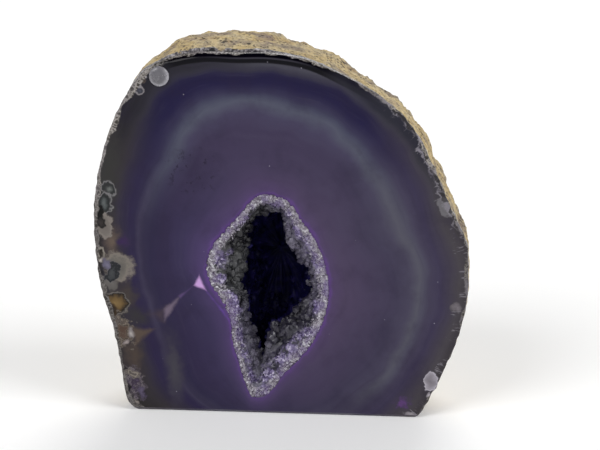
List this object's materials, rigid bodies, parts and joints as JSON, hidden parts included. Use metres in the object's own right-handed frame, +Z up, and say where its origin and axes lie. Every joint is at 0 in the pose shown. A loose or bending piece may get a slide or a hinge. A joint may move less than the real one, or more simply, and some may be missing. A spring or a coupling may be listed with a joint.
{
  "type": "geode half",
  "caption": "Dyed purple agate geode half with a sawn base, a polished upright face, a crystal-lined hollow and a clear bumper pad.",
  "frame": {"origin": "the point of the sawn base that lies under the middle of the object's box", "axes": "+Z up from the sawn base; the polished face looks along -Y; +X is to the right as seen from in front of that face"},
  "size_m": [0.1536, 0.0695, 0.1553],
  "materials": {
    "agate_stone": "polished",
    "quartz_crystal": "gloss",
    "clear_pad": "gloss"
  },
  "bodies": {
    "root": {"stone": "agate_stone", "crystal_crust": "quartz_crystal", "bumper_pad": "clear_pad"}
  },
  "joints": []
}
